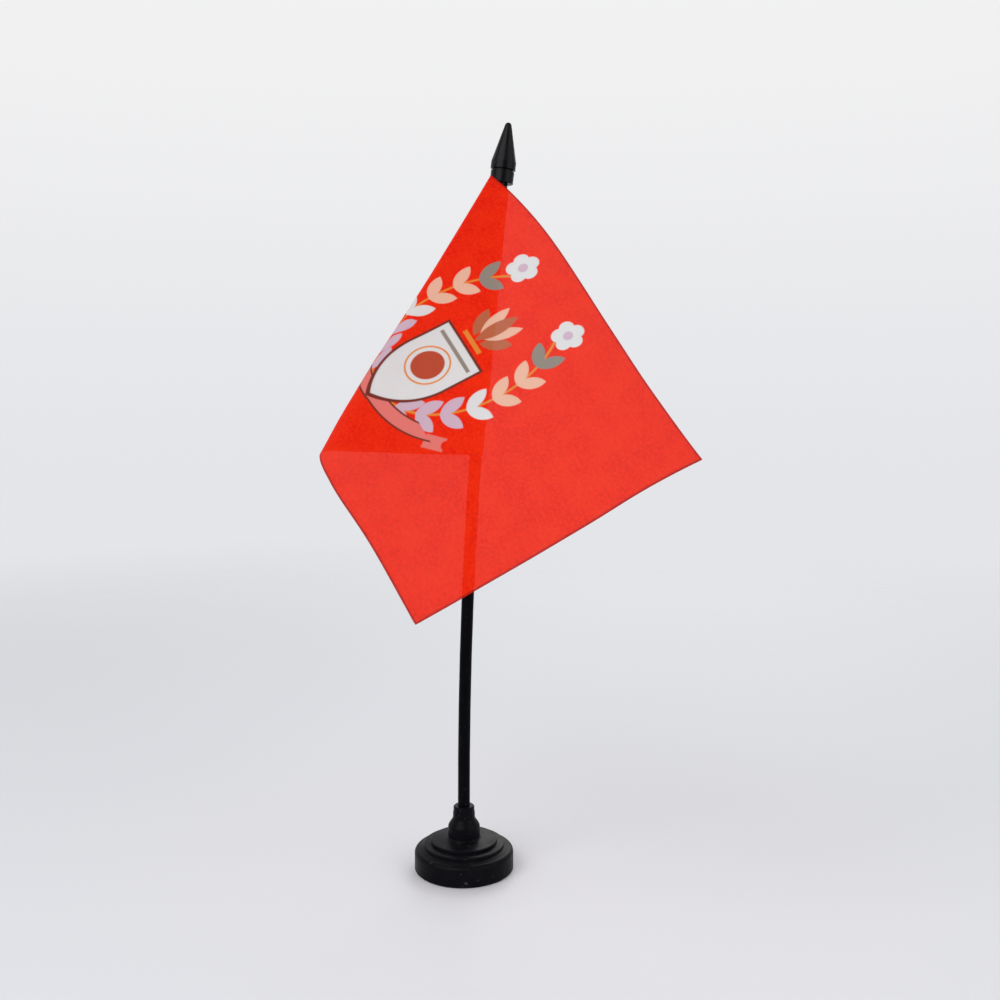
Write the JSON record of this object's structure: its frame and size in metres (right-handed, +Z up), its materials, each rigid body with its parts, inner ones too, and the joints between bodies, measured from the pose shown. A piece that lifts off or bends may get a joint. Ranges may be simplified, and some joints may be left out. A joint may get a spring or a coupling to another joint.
{
  "type": "desk flag stand",
  "caption": "Small table flag: a cloth flag turning on a slim bent pole, which stands in the socket of a round stepped foot, with a cone finial on top.",
  "frame": {"origin": "centre of the foot's underside, in the plane of the table", "axes": "+Z up; the pole leans to +X; -Y is towards the viewer, where the fly of the flag hangs"},
  "size_m": [0.1175, 0.1135, 0.2795],
  "materials": {
    "foot_plastic": "satin",
    "pole_plastic": "satin",
    "finial_plastic": "satin",
    "flag_fabric": "matte",
    "thread": "matte"
  },
  "bodies": {
    "foot": {"foot": "foot_plastic"},
    "pole": {"pole": "pole_plastic"},
    "finial": {"finial": "finial_plastic"},
    "flag": {"flag_cloth": "flag_fabric", "flag_sleeve": "flag_fabric", "sleeve_stitching": "thread"}
  },
  "joints": [
    {"name": "pole_lift", "type": "slide", "parent": "foot", "child": "pole", "axis": [0, 0, 1], "range_m": [0, 0.018]},
    {"name": "finial_pull", "type": "slide", "parent": "pole", "child": "finial", "axis": [0.1227, 0, 0.9924], "range_m": [0, 0.008]},
    {"name": "flag_swivel", "type": "hinge", "parent": "pole", "child": "flag", "pos_m": [0.01394, 0, 0.25715], "axis": [0.0966, 0, 0.9953], "continuous": true}
  ]
}
